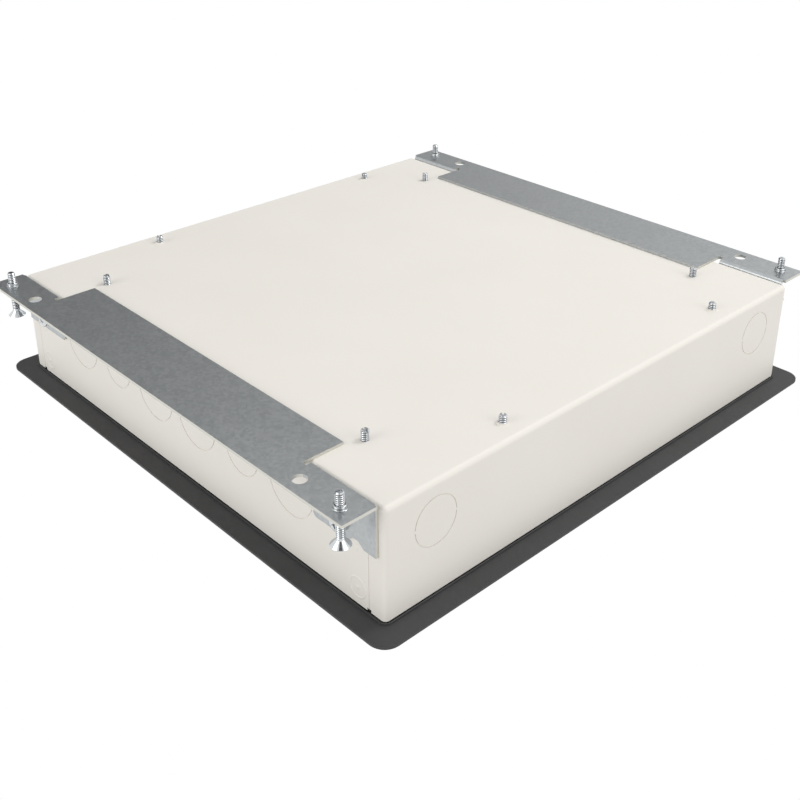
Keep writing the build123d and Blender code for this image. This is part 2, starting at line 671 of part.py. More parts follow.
# Gasket and trim frame: the frame's flange covers the cut floor, its skirt drops
# into the box and a ledge inside it carries the lid.
gasket_half = frame_screw_at + GASKET_W / 2
with BuildPart() as frame_gasket:
    with BuildSketch(Plane.XY.offset(rim_z)):
        RectangleRounded(2 * gasket_half, 2 * gasket_half, OPENING_R)
        inside = 2 * (gasket_half - GASKET_W)
        RectangleRounded(inside, inside, OPENING_R, mode=Mode.SUBTRACT)
        with Locations(*frame_screws_at):
            Circle(FRAME_SCREW_R + CLEARANCE_HOLE, mode=Mode.SUBTRACT)
    extrude(amount=GASKET_T)
save(frame_gasket, "frame_gasket")

pin_x = lid_half - HINGE_PIN_REACH           # inner end of a hinge pin
with BuildPart() as trim_frame:
    with BuildSketch(Plane.XY.offset(flange_z)):
        RectangleRounded(flange_w, flange_w, FLANGE_CORNER_R)
    extrude(amount=FLANGE_T)
    chamfer(trim_frame.faces().sort_by(Axis.Z)[-1].edges(), FLANGE_BEVEL)
    # rib that laps the box's rim from outside and keeps the frame square on it
    rib_inside = BOX_W + 2 * RIB_GAP
    rib_outside = rib_inside + 2 * RIB_W
    with BuildSketch(Plane.XY.offset(flange_z - RIB_H)):
        RectangleRounded(rib_outside, rib_outside, BEND_R + RIB_GAP + RIB_W)
        RectangleRounded(rib_inside, rib_inside, BEND_R + RIB_GAP, mode=Mode.SUBTRACT)
    extrude(amount=RIB_H)
    fillet(trim_frame.faces().sort_by(Axis.Z)[0].edges(), RIB_ROUND)
    with BuildSketch(Plane.XY.offset(skirt_z)):
        RectangleRounded(2 * skirt_half, 2 * skirt_half, SKIRT_CORNER_R)
    extrude(amount=SKIRT_DROP)
    with BuildSketch(Plane.XY.offset(ledge_z)):
        RectangleRounded(opening_w, opening_w, OPENING_R)
        # square rear corners, clear of the lid's swing
        with Locations((0, open_half - OPENING_R / 2)):
            Rectangle(opening_w, OPENING_R)
    extrude(amount=top_z - ledge_z, mode=Mode.SUBTRACT)
    with BuildSketch(Plane.XY.offset(skirt_z)):
        inside = opening_w - 2 * LEDGE_W
        RectangleRounded(inside, inside, OPENING_R)
        # no ledge under the hinge, where the lid's rear edge swings down
        with Locations((0, open_half - LEDGE_W)):
            Rectangle(opening_w, 2 * LEDGE_W)
    extrude(amount=top_z - skirt_z, mode=Mode.SUBTRACT)
    with BuildSketch(Plane.YZ.offset(-skirt_half - CUT)):
        with Locations((hinge_y, hinge_z)):
            Circle(HINGE_PIN_R + THREAD_FIT)
    extrude(amount=2 * (skirt_half + CUT), mode=Mode.SUBTRACT)
    for x, y in frame_screws_at:
        with Locations(Location((x, y, top_z))):
            CounterSinkHole(FRAME_SCREW_R + CLEARANCE_HOLE, FRAME_SCREW_HEAD_R + CSK_GAP,
                            FLANGE_T + CUT, counter_sink_angle=CSK_ANGLE)
save(trim_frame, "trim_frame")

frame_screw_length = FLANGE_T + GASKET_T + SHEET + COLLAR_H
save_group([csk_screw(Plane(origin=(x, y, top_z)), frame_screw_length, FRAME_SCREW_R,
                      FRAME_SCREW_HEAD_R) for x, y in frame_screws_at], "frame_screws")


def rod(start, radius, length):
    with BuildPart(mode=Mode.PRIVATE) as pin:
        with BuildSketch(Plane(origin=start, x_dir=(0, 1, 0), z_dir=(1, 0, 0))):
            Circle(radius)
        extrude(amount=length)
        chamfer(pin.edges().filter_by(GeomType.CIRCLE), PIN_CHAMFER)
    return pin.part


hinge_pin_length = skirt_half - pin_x
save_group([rod((pin_x, hinge_y, hinge_z), HINGE_PIN_R, hinge_pin_length),
            rod((-skirt_half, hinge_y, hinge_z), HINGE_PIN_R, hinge_pin_length)], "hinge_pins")


# Lid: a moulded rim with a front bar, and a steel plate that forms the tread.
flap_axis_y = -lid_half + FLAP_DEPTH - FLAP_KNUCKLE_R - FLAP_GAP / 2
flap_axis_z = top_z - FLAP_KNUCKLE_R
handle_front = -lid_half + LID_WALL
handle_axis_y = handle_front + HANDLE_KNUCKLE_R + FLAP_GAP
handle_axis_z = top_z - HANDLE_KNUCKLE_R
with BuildPart() as lid_frame:
    with BuildSketch(Plane.XY.offset(lid_z)):
        RectangleRounded(2 * lid_half, 2 * lid_half, OPENING_R - LID_GAP)
    extrude(amount=top_z - lid_z)
    # recess for the steel plate and the floor covering
    with BuildSketch(Plane.XY.offset(plate_z)):
        with Locations((0, (lid_open + bar_y) / 2)):
            RectangleRounded(2 * lid_open, lid_open - bar_y, LID_RECESS_R)
    extrude(amount=top_z - plate_z, mode=Mode.SUBTRACT)
    with BuildSketch(Plane.XY.offset(lid_z)):
        with Locations((0, (lid_open + bar_y) / 2)):
            Rectangle(2 * (lid_open - LID_LEDGE_W), lid_open - bar_y - 2 * LID_LEDGE_W)
    extrude(amount=LID_LEDGE_T, mode=Mode.SUBTRACT)
    # hinge bosses in the rear corners
    with BuildSketch(Plane.XY.offset(plate_z)):
        for side in sides:
            with Locations((side * (lid_open - HINGE_BOSS_L / 2), hinge_y)):
                Rectangle(HINGE_BOSS_L, 2 * HINGE_BOSS_R)
    extrude(amount=top_z - HINGE_BOSS_DROP - plate_z)
    # rear edge rounded about the hinge axis, bosses and corners with it
    with BuildSketch(Plane.YZ.offset(-lid_half)):
        with Locations((hinge_y + HINGE_INSET / 2, hinge_z + HINGE_INSET / 2)):
            Rectangle(HINGE_INSET, HINGE_INSET)
        with Locations((hinge_y, hinge_z)):
            Circle(HINGE_INSET, mode=Mode.SUBTRACT)
    extrude(amount=2 * lid_half, mode=Mode.SUBTRACT)
    with BuildSketch(Plane.YZ.offset(-lid_half - CUT)):
        with Locations((hinge_y, hinge_z)):
            Circle(HINGE_PIN_R + RUNNING_FIT)
    extrude(amount=HINGE_PIN_REACH + 2 * CUT, mode=Mode.SUBTRACT)
    with BuildSketch(Plane.YZ.offset(lid_half + CUT)):
        with Locations((hinge_y, hinge_z)):
            Circle(HINGE_PIN_R + RUNNING_FIT)
    extrude(amount=-HINGE_PIN_REACH - 2 * CUT, mode=Mode.SUBTRACT)
    # cable openings, with a stop under each side of the flap
    for side in sides:
        with BuildSketch(Plane.XY.offset(lid_z)):
            with Locations((side * flap_x, -lid_half + FLAP_DEPTH / 2)):
                Rectangle(FLAP_W, FLAP_DEPTH)
        extrude(amount=top_z - lid_z, mode=Mode.SUBTRACT)
        with BuildSketch(Plane.XY.offset(lid_z)):
            for edge in sides:
                stop_x = side * flap_x + edge * (FLAP_W - FLAP_STOP) / 2
                with Locations((stop_x, -lid_half + FLAP_STOP_L / 2)):
                    Rectangle(FLAP_STOP, FLAP_STOP_L)
        extrude(amount=top_z - FLAP_T - LID_SEAT - lid_z)
        with BuildSketch(Plane.YZ.offset(side * flap_x - FLAP_W / 2 - PIN_SEAT)):
            with Locations((flap_axis_y, flap_axis_z)):
                Circle(FLAP_PIN_R + THREAD_FIT)
        extrude(amount=FLAP_W + 2 * PIN_SEAT, mode=Mode.SUBTRACT)
    # handle pocket
    with BuildSketch(Plane.XY.offset(top_z - HANDLE_POCKET_SINK)):
        with Locations((0, handle_front + pocket_depth / 2)):
            Rectangle(pocket_w, pocket_depth)
    extrude(amount=HANDLE_POCKET_SINK, mode=Mode.SUBTRACT)
    with BuildSketch(Plane.YZ.offset(-pocket_w / 2 - PIN_SEAT)):
        with Locations((handle_axis_y, handle_axis_z)):
            Circle(HANDLE_PIN_R + THREAD_FIT)
    extrude(amount=pocket_w + 2 * PIN_SEAT, mode=Mode.SUBTRACT)
save(lid_frame, "lid_frame")

with BuildPart() as lid_plate:
    with BuildSketch(Plane.XY.offset(plate_z)):
        with Locations((0, (lid_open + bar_y) / 2)):
            RectangleRounded(2 * (lid_open - LID_PLATE_FIT), lid_open - bar_y - 2 * LID_PLATE_FIT,
                             LID_RECESS_R)
        for side in sides:
            with Locations((side * (lid_open - HINGE_BOSS_L / 2), hinge_y)):
                Rectangle(HINGE_BOSS_L + 2 * LID_PLATE_FIT, 2 * (HINGE_BOSS_R + LID_PLATE_FIT),
                          mode=Mode.SUBTRACT)
    extrude(amount=LID_PLATE_T)
save(lid_plate, "lid_plate")

# Cable flaps: each turns up about a pin at its rear edge.
for side in sides:
    with BuildPart() as cable_flap:
        width = FLAP_W - 2 * FLAP_GAP
        front = -lid_half
        with BuildSketch(Plane.XY.offset(top_z - FLAP_T)):
            with Locations((side * flap_x, (front + flap_axis_y) / 2)):
                Rectangle(width, flap_axis_y - front)
        extrude(amount=FLAP_T)
        with BuildSketch(Plane.YZ.offset(side * flap_x - width / 2)):
            with Locations((flap_axis_y, flap_axis_z)):
                Circle(FLAP_KNUCKLE_R)
        extrude(amount=width)
        with BuildSketch(Plane.YZ.offset(side * flap_x - width / 2)):
            with Locations((flap_axis_y, flap_axis_z)):
                Circle(FLAP_PIN_R + RUNNING_FIT)
        extrude(amount=width, mode=Mode.SUBTRACT)
    save(cable_flap, f"cable_flap_{side_names[side]}")

save_group([rod((side * flap_x - FLAP_W / 2 - PIN_SEAT, flap_axis_y, flap_axis_z),
                FLAP_PIN_R, FLAP_W + 2 * PIN_SEAT) for side in sides], "flap_pins")

# Lifting handle: a bail that lies flush in its pocket and turns up at the front.
with BuildPart() as lid_handle:
    with BuildSketch(Plane.XY.offset(top_z - HANDLE_T)):
        with Locations((0, handle_axis_y + HANDLE_DEPTH / 2)):
            Rectangle(HANDLE_W, HANDLE_DEPTH)
            Rectangle(HANDLE_WINDOW_W, HANDLE_WINDOW_D, mode=Mode.SUBTRACT)
    extrude(amount=HANDLE_T)
    with BuildSketch(Plane.YZ.offset(-HANDLE_W / 2)):
        with Locations((handle_axis_y, handle_axis_z)):
            Circle(HANDLE_KNUCKLE_R)
    extrude(amount=HANDLE_W)
    with BuildSketch(Plane.YZ.offset(-HANDLE_W / 2)):
        with Locations((handle_axis_y, handle_axis_z)):
            Circle(HANDLE_PIN_R + RUNNING_FIT)
    extrude(amount=HANDLE_W, mode=Mode.SUBTRACT)
save(lid_handle, "lid_handle")

with BuildPart() as handle_pin:
    add(rod((-pocket_w / 2 - PIN_SEAT, handle_axis_y, handle_axis_z),
            HANDLE_PIN_R, pocket_w + 2 * PIN_SEAT))
save(handle_pin, "handle_pin")
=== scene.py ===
from math import cos, pi, radians, sin, tau

import bmesh
import bpy
from mathutils import Matrix, Vector


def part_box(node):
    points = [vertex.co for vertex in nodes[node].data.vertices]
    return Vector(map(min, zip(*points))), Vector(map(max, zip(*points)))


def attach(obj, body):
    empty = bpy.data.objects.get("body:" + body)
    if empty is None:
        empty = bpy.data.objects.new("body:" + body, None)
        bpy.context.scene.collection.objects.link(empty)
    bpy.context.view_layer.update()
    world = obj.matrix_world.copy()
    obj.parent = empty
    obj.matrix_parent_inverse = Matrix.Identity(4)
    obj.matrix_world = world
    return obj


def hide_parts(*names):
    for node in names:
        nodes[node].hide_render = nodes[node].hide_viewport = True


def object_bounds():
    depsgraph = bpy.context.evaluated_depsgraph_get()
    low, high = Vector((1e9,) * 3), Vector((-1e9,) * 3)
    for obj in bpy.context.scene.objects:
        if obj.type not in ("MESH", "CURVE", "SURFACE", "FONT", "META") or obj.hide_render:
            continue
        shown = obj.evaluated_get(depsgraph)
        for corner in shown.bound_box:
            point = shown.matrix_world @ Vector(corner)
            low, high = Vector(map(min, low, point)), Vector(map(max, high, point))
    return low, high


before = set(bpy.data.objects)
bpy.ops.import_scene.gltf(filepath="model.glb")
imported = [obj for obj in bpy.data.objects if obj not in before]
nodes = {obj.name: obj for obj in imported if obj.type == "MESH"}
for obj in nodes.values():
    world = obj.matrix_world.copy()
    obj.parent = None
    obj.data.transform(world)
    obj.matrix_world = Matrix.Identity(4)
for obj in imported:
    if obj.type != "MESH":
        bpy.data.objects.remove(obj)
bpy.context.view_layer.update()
MM = 0.001


# Box body: one steel sheet folded into a tray and welded at the corners, with scored
# knockouts. The ivory powder coat was sprayed and baked on after folding, and has
# the faint orange peel of such a coat.
class Link:
    """A socket of a shader tree. Python's operators on it add Math nodes."""

    def __init__(self, tree, socket=None):
        self.tree = tree
        self.socket = socket

    def node(self, kind, settings, values, output=0):
        """Adds a node: its settings first, then the values or links of its sockets."""
        made = self.tree.nodes.new(kind)
        for name, value in settings.items():
            setattr(made, name, value)
        for name, value in values.items():
            feed(self.tree, made.inputs[name], value)
        return Link(self.tree, made.outputs[output])

    def also(self, output):
        """Another output of the same node."""
        return Link(self.tree, self.socket.node.outputs[output])

    def maths(self, operation, *values):
        return self.node("ShaderNodeMath", {"operation": operation}, dict(enumerate(values)))

    def __add__(self, other):
        return self.maths("ADD", self, other)

    def __sub__(self, other):
        return self.maths("SUBTRACT", self, other)

    def __rsub__(self, other):
        return self.maths("SUBTRACT", other, self)

    def __mul__(self, other):
        return self.maths("MULTIPLY", self, other)

    def __abs__(self):
        return self.maths("ABSOLUTE", self)

    def __gt__(self, limit):
        """A mask: 1 where this value is more than the limit, 0 elsewhere."""
        return self.maths("GREATER_THAN", self, limit)

    def __or__(self, other):
        """Where either of two masks is."""
        return self.maths("MAXIMUM", self, other)

    __radd__ = __add__
    __rmul__ = __mul__

    def noise(self, size, detail=2.0):
        """Noise whose features are about size metres across."""
        values = {"Vector": self, "Scale": 1 / size, "Detail": detail}
        return self.node("ShaderNodeTexNoise", {}, values, "Fac")

    def cells(self, size, output):
        return self.node("ShaderNodeTexVoronoi", {}, {"Vector": self, "Scale": 1 / size}, output)

    def stretched(self, x, y, z):
        return self.node("ShaderNodeVectorMath", {"operation": "MULTIPLY"}, {0: self, 1: (x, y, z)})

    def axes(self):
        """The x, y and z parts of a vector."""
        parts = self.node("ShaderNodeSeparateXYZ", {}, {0: self})
        return [parts.also(axis) for axis in "XYZ"]

    def between(self, low, high):
        """A colour from low to high as this value goes from 0 to 1."""
        return self.node("ShaderNodeMix", {"data_type": "RGBA"}, {0: self, 6: low, 7: high}, 2)

    def bump(self, depth, strength):
        values = {"Height": self, "Distance": depth, "Strength": strength}
        return self.node("ShaderNodeBump", {}, values)


def feed(tree, socket, value):
    """Gives a shader's socket a link or a constant."""
    if isinstance(value, Link):
        tree.links.new(value.socket, socket)
    else:
        socket.default_value = value


def linear(part):
    """One part of a screen colour, 0 to 255, as linear light."""
    part /= 255
    return part / 12.92 if part <= 0.04045 else ((part + 0.055) / 1.055) ** 2.4


def colour(red, green, blue):
    return (linear(red), linear(green), linear(blue), 1)


def finish(name, look):
    """A material: look takes the surface's place and gives the shader's inputs."""
    material = bpy.data.materials.new(name)
    material.use_nodes = True
    tree = material.node_tree
    place = Link(tree).node("ShaderNodeTexCoord", {}, {}, "Object")
    for socket, value in look(place).items():
        feed(tree, tree.nodes["Principled BSDF"].inputs[socket], value)
    return material


def dress(material, *names):
    """Gives CAD nodes their material."""
    for name in names:
        nodes[name].data.materials.clear()
        nodes[name].data.materials.append(material)


ENAMEL_PALE = colour(239, 235, 228)
ENAMEL_DEEP = colour(234, 230, 222)
ENAMEL_TONE = 60 * MM
ENAMEL_SHEEN = 4 * MM
ORANGE_PEEL = 1.1 * MM
PEEL_DEPTH = 0.02 * MM


def enamel_look(place):
    return {
        "Base Color": place.noise(ENAMEL_TONE, 3).between(ENAMEL_DEEP, ENAMEL_PALE),
        "Roughness": 0.40 + 0.12 * place.noise(ENAMEL_SHEEN),
        "Normal": place.noise(ORANGE_PEEL).bump(PEEL_DEPTH, 0.35),
        "Specular IOR Level": 0.25,
    }


enamel = finish("box_enamel", enamel_look)
dress(enamel, "box_body")


# Levelling brackets: steel strip with hot-dip zinc, sheared and folded, one along each
# side of the base. The zinc froze in small dull flowers, and the sheared edges are
# paler than the faces.
ZINC_DULL = colour(168, 172, 174)
ZINC_BRIGHT = colour(190, 193, 194)
ZINC_EDGE = colour(207, 206, 199)
ZINC_FLOWER = 1.5 * MM
ZINC_CLOUD = 40 * MM
ZINC_SPECK = 0.5 * MM
ZINC_RELIEF = 0.010 * MM
STRIP_EDGE_X = 168 * MM
TAB_EDGE_Z = 14 * MM
SQUARE_ON = 0.5


def zinc_sheet_look(place):
    flower = place.cells(ZINC_FLOWER, "Color")
    shade = flower.node("ShaderNodeSeparateColor", {}, {0: flower})
    speck = place.noise(ZINC_SPECK)
    mix = 0.5 * shade + 0.25 * place.noise(ZINC_CLOUD, 1) + 0.25 * speck
    return {
        "Base Color": mix.between(ZINC_DULL, ZINC_BRIGHT),
        "Metallic": 1.0,
        "Roughness": 0.29 + 0.05 * shade + 0.03 * speck,
        "Normal": (0.5 * shade + speck).bump(ZINC_RELIEF, 0.4),
    }


def bracket_look(place):
    """The sheet's zinc, with the strip's and the tabs' sheared edges picked out."""
    look = zinc_sheet_look(place)
    x, _, z = place.axes()
    normal = place.node("ShaderNodeTexCoord", {}, {}, "Normal")
    sideways, endways, upright = [abs(part) > SQUARE_ON for part in normal.axes()]
    sheared = endways | (abs(x) > STRIP_EDGE_X) * sideways | (z > TAB_EDGE_Z) * upright
    look["Base Color"] = sheared.between(look["Base Color"], ZINC_EDGE)
    look["Roughness"] = look["Roughness"] + 0.2 * sheared
    return look


dress(finish("bracket_zinc", bracket_look),
      "levelling_bracket_left", "levelling_bracket_right")


# Levelling screws: bright zinc-plated steel with a countersunk head, a cross recess and
# a rolled thread that ends in a cleaning flute; its roots are dark with painted shade.
# Each turns in a collar of the strip and stands on the floor.
THREAD_PITCH = 0.95 * MM
THREAD_DEPTH = 0.40 * MM
THREAD_STEPS = 8
CREST_FLAT = 1.15
ROOT_SHARE = 0.55
END_FACE = 0.9
ROUND_STEPS = 36
SHARP_EDGE = radians(32)
M4_RADIUS = 2.0 * MM
TIP_CHAMFER = 0.5 * MM
CSK_RADIUS = 4.5 * MM
CSK_RIM = 0.3 * MM
CSK_EDGE = 0.05 * MM
CSK_CHAMFER = 0.12 * MM
NECK_RELIEF = 0.12 * MM
CSK_RECESS = 1.5 * MM
RECESS_REACH = 0.55
RECESS_ENDS = ((-1, 0.35), (1, 1.65))
RECESS_TURNS = (pi / 4, 3 * pi / 4)
ARM_HALF_WIDTH = 0.38 * MM
ARM_SPREAD = 0.1 * MM
FLUTE_WIDTH = 0.9 * MM
FLUTE_LENGTH = 1.2 * MM
FLUTE_TURN = radians(20)
BRIGHT_STREAK = 1.4 * MM
BRIGHT_DARK = colour(196, 200, 204)
BRIGHT_PALE = colour(226, 228, 230)
BRIGHT_GRAIN = 0.35 * MM
BRIGHT_RELIEF = 0.006 * MM
# Painted shade in the thread's roots: the size of its patches and its dark and pale greys.
ROOT_SHADE_PATCH = 0.8 * MM
ROOT_SHADE_DARK = colour(66, 68, 68)
ROOT_SHADE_PALE = colour(118, 121, 120)
SQUARE_CORNERS = ((-1, -1), (1, -1), (1, 1), (-1, 1))
AS_BUILT = Matrix.Identity(4)


def worn_metal(place, size, dark, pale, smooth, rough):
    """Bare metal in patches of one size, from dark and smooth to pale and rough."""
    patch = place.noise(size, 3)
    return {
        "Base Color": patch.between(dark, pale),
        "Metallic": 1.0,
        "Roughness": smooth + (rough - smooth) * patch,
    }


def bright_zinc_look(place):
    look = worn_metal(place, BRIGHT_STREAK, BRIGHT_DARK, BRIGHT_PALE, 0.09, 0.18)
    look["Normal"] = place.noise(BRIGHT_GRAIN).bump(BRIGHT_RELIEF, 0.3)
    return look


# The thread's roots are coloured dark grey as painted shade, for the shade that falls in them.
def thread_root_painted_shade_look(place):
    return worn_metal(place, ROOT_SHADE_PATCH, ROOT_SHADE_DARK, ROOT_SHADE_PALE, 0.42, 0.57)


bright_zinc = finish("bright_zinc", bright_zinc_look)
thread_root_painted_shade = finish("thread_root_painted_shade", thread_root_painted_shade_look)


def ring(mesh, place, radius, height):
    """A ring of points round the axis of place. The radius may go by the angle."""
    row = []
    for step in range(ROUND_STEPS):
        angle = tau * step / ROUND_STEPS
        reach = radius(angle) if callable(radius) else radius
        point = Vector((reach * cos(angle), reach * sin(angle), height))
        row.append(mesh.verts.new(place @ point))
    return row


def bands(mesh, rows):
    """Joins each row of points to the next with a band of faces."""
    for row, after in zip(rows, rows[1:]):
        for i in range(len(row)):
            j = (i + 1) % len(row)
            mesh.faces.new((row[i], row[j], after[j], after[i]))


def closed(mesh, rows):
    """Joins rows of points to a solid with a face at each end."""
    bands(mesh, rows)
    mesh.faces.new(reversed(rows[0]))
    mesh.faces.new(rows[-1])


def piece(name, mesh, material, smooth=True):
    """A new object from a mesh being built, in the frame of the CAD."""
    data = bpy.data.meshes.new(name)
    bmesh.ops.recalc_face_normals(mesh, faces=mesh.faces)
    mesh.to_mesh(data)
    mesh.free()
    data.materials.append(material)
    made = bpy.data.objects.new(name, data)
    bpy.context.scene.collection.objects.link(made)
    if smooth:
        data.set_sharp_from_angle(angle=SHARP_EDGE)
    return made


def placed(made, place, body):
    """Moves the mesh, so that its object stays at the origin, and mounts it."""
    made.data.transform(place)
    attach(made, body)


def thread_rings(low, high, radius):
    """Rings of a helical thread, from its chamfered tip at low to its end at high."""
    count = round((high - low) / THREAD_PITCH * THREAD_STEPS)
    rings = []
    for index in range(count + 1):
        height = low + (high - low) * index / count
        crest = min(radius, radius - TIP_CHAMFER + height - low)

        def reach(angle, height=height, crest=crest):
            phase = (height / THREAD_PITCH - angle / tau) % 1
            tooth = min(1, CREST_FLAT * (1 - abs(2 * phase - 1)))
            return min(crest, radius - THREAD_DEPTH + THREAD_DEPTH * tooth)

        rings.append((reach, height))
    return rings


def turned(name, rings, radius, low, high):
    """A screw's blank from rings, with painted shade in its thread's roots from low to high."""
    mesh = bmesh.new()
    closed(mesh, [ring(mesh, AS_BUILT, reach, height) for reach, height in rings])
    blank = piece(name, mesh, bright_zinc)
    blank.data.materials.append(thread_root_painted_shade)
    root = radius - ROOT_SHARE * THREAD_DEPTH
    for face in blank.data.polygons:
        centre = face.center
        if low < centre.z < high and centre.xy.length < root and abs(face.normal.z) < END_FACE:
            face.material_index = 1
    return blank


def cut(screw, turn, ends):
    """Cuts a bar out of a screw, from the bar's half length, half width and height at
    its bottom and its top."""
    mesh = bmesh.new()
    turning = Matrix.Rotation(turn, 3, "Z")
    closed(mesh, [[mesh.verts.new(turning @ Vector((x * length, y * width, height)))
                   for x, y in SQUARE_CORNERS] for length, width, height in ends])
    cutter = piece("cutter", mesh, bright_zinc, smooth=False)
    change = screw.modifiers.new("cut", "BOOLEAN")
    change.operation = "DIFFERENCE"
    change.solver = "EXACT"
    change.object = cutter
    evaluated = screw.evaluated_get(bpy.context.evaluated_depsgraph_get())
    data = bpy.data.meshes.new_from_object(evaluated)
    screw.modifiers.clear()
    screw.data = data
    bpy.data.objects.remove(cutter)
    data.set_sharp_from_angle(angle=SHARP_EDGE)


def cross_recess(screw, depth, head_radius, top):
    """Cuts a cross that narrows towards its bottom, one arm after the other."""
    for turn in RECESS_TURNS:
        cut(screw, turn, [(size * RECESS_REACH * head_radius,
                           ARM_HALF_WIDTH + ARM_SPREAD * size, top + side * depth)
                          for side, size in RECESS_ENDS])


def fluted(screw, tip, turn):
    """Cuts the flute across a screw's tip."""
    cut(screw, turn, [(2 * M4_RADIUS, FLUTE_WIDTH / 2, height)
                      for height in (tip - MM, tip + FLUTE_LENGTH)])


def countersunk(name, radius, head_radius, length):
    """A countersunk screw with its head's top at zero and its tip below."""
    neck = radius - head_radius - CSK_RIM
    rings = thread_rings(-length, neck - THREAD_PITCH, radius)
    rings += [(radius - NECK_RELIEF, neck - THREAD_PITCH / 2), (radius, neck),
              (head_radius - CSK_EDGE, -CSK_RIM), (head_radius, -CSK_RIM / 2),
              (head_radius - CSK_CHAMFER, 0)]
    screw = turned(name, rings, radius, TIP_CHAMFER - length, neck)
    cross_recess(screw, CSK_RECESS, head_radius, 0)
    return screw


def screw_axis(node):
    """Where an upright screw's axis is, seen from above."""
    low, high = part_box(node)
    return (low.x + high.x) / 2, (low.y + high.y) / 2


for end in ("front", "rear"):
    for side in ("left", "right"):
        node = f"levelling_screw_{end}_{side}"
        low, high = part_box(node)
        length = high.z - low.z
        screw = countersunk(f"levelling_screw_threaded_{end}_{side}", M4_RADIUS, CSK_RADIUS, length)
        fluted(screw, -length, FLUTE_TURN)
        head_top = Matrix.Translation((*screw_axis(node), high.z))
        placed(screw, head_top, f"level_{end}_{side}")
        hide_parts(node)


# Collars: the strip is drawn downwards round each levelling screw and tapped. The draw
# burnished the zinc, and left a round lip at the bore and a flared foot at the strip.
# Each lies over the plain collar of the CAD bracket.
COLLAR_SECTION = [(2.05, 0.0), (2.05, -1.42), (2.12, -1.58), (2.28, -1.66), (2.5, -1.65),
                  (2.72, -1.54), (2.88, -1.36), (2.96, -1.15), (2.98, -0.8), (3.0, -0.4),
                  (3.06, -0.2), (3.16, -0.06), (3.28, 0.0)]
CAD_COLLAR_HEIGHT = 1.2 * MM
BURNISH_WEAR = 0.9 * MM
BURNISH_DARK = colour(146, 149, 151)
BURNISH_PALE = colour(192, 195, 196)


def burnished_look(place):
    return worn_metal(place, BURNISH_WEAR, BURNISH_DARK, BURNISH_PALE, 0.20, 0.32)


def lathed(mesh, place, section):
    """Rings about the axis of place, from a section's radii and heights in millimetres."""
    return [ring(mesh, place, radius * MM, height * MM) for radius, height in section]


burnished_zinc = finish("burnished_zinc", burnished_look)
strip_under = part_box("levelling_bracket_left")[0].z + CAD_COLLAR_HEIGHT
for side in ("left", "right"):
    mesh = bmesh.new()
    for end in ("front", "rear"):
        bore = Matrix.Translation((*screw_axis(f"levelling_screw_{end}_{side}"), strip_under))
        rings = lathed(mesh, bore, COLLAR_SECTION)
        bands(mesh, rings + rings[:1])
    collars = piece(f"levelling_collars_{side}", mesh, burnished_zinc)
    placed(collars, AS_BUILT, "box")


# Weld marks: the corner flaps are welded behind the side walls. Each corner shows a
# round upset with a small bead in it, and a second bead nearer the base, all under
# the powder coat. Their feet lie just inside the wall.
WELD_IN = 17.0 * MM
WELD_RING_Z = 57.0 * MM
WELD_BEAD_Z = 37.3 * MM
RING_SECTION = [(4.3, -0.05), (4.5, 0.09), (4.8, 0.16), (5.1, 0.16), (5.4, 0.09), (5.6, -0.05)]
BEAD_SECTION = [(0.1, 0.26), (0.6, 0.22), (1.0, 0.12), (1.3, -0.05)]

low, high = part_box("box_body")
mesh = bmesh.new()
for side, wall in ((-1, low.x), (1, high.x)):
    outwards = Matrix.Rotation(side * pi / 2, 4, "Y")
    for y in (low.y + WELD_IN, high.y - WELD_IN):
        bands(mesh, lathed(mesh, Matrix.Translation((wall, y, WELD_RING_Z)) @ outwards,
                           RING_SECTION))
        for height in (WELD_RING_Z, WELD_BEAD_Z):
            rings = lathed(mesh, Matrix.Translation((wall, y, height)) @ outwards, BEAD_SECTION)
            bands(mesh, rings)
            mesh.faces.new(rings[0])
placed(piece("weld_marks", mesh, enamel), AS_BUILT, "box")


# Bracket screws: zinc-plated pan heads with a cross recess. They are driven through
# washers and the slots in the tabs into the side walls, and stop at any angle.
PAN_RADIUS = 4.2 * MM
PAN_HEIGHT = 3.0 * MM
PAN_CHAMFER = 0.15 * MM
PAN_SIDE = 1.35 * MM
PAN_TOP = 2.3 * MM
PAN_STEPS = 6
PAN_RECESS = 1.8 * MM
TAB_SCREW_LENGTH = 8.5 * MM
TAB_SCREW_TURN = 25
TAB_SCREW_FURTHER = 40


def pan_headed(name, length):
    """A pan-head screw with its seat at zero, head above and tip below."""
    rings = thread_rings(-length, 0, M4_RADIUS)
    rings += [(PAN_RADIUS - PAN_CHAMFER, 0), (PAN_RADIUS, PAN_CHAMFER), (PAN_RADIUS, PAN_SIDE)]
    for step in range(1, PAN_STEPS + 1):
        angle = pi / 2 * step / PAN_STEPS
        rings.append((PAN_TOP + (PAN_RADIUS - PAN_TOP) * cos(angle),
                      PAN_SIDE + (PAN_HEIGHT - PAN_SIDE) * sin(angle)))
    screw = turned(name, rings, M4_RADIUS, TIP_CHAMFER - length, 0)
    cross_recess(screw, PAN_RECESS, PAN_RADIUS, PAN_HEIGHT)
    return screw


def copies(name, screw, places, node):
    """One piece with a copy of the screw at each place, instead of the CAD node."""
    mesh = bmesh.new()
    for place in places:
        part = screw.data.copy()
        part.transform(place)
        mesh.from_mesh(part)
    bpy.data.objects.remove(screw)
    screws = piece(name, mesh, bright_zinc)
    # The second material paints shade into the thread's roots.
    screws.data.materials.append(thread_root_painted_shade)
    placed(screws, AS_BUILT, "box")
    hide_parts(node)


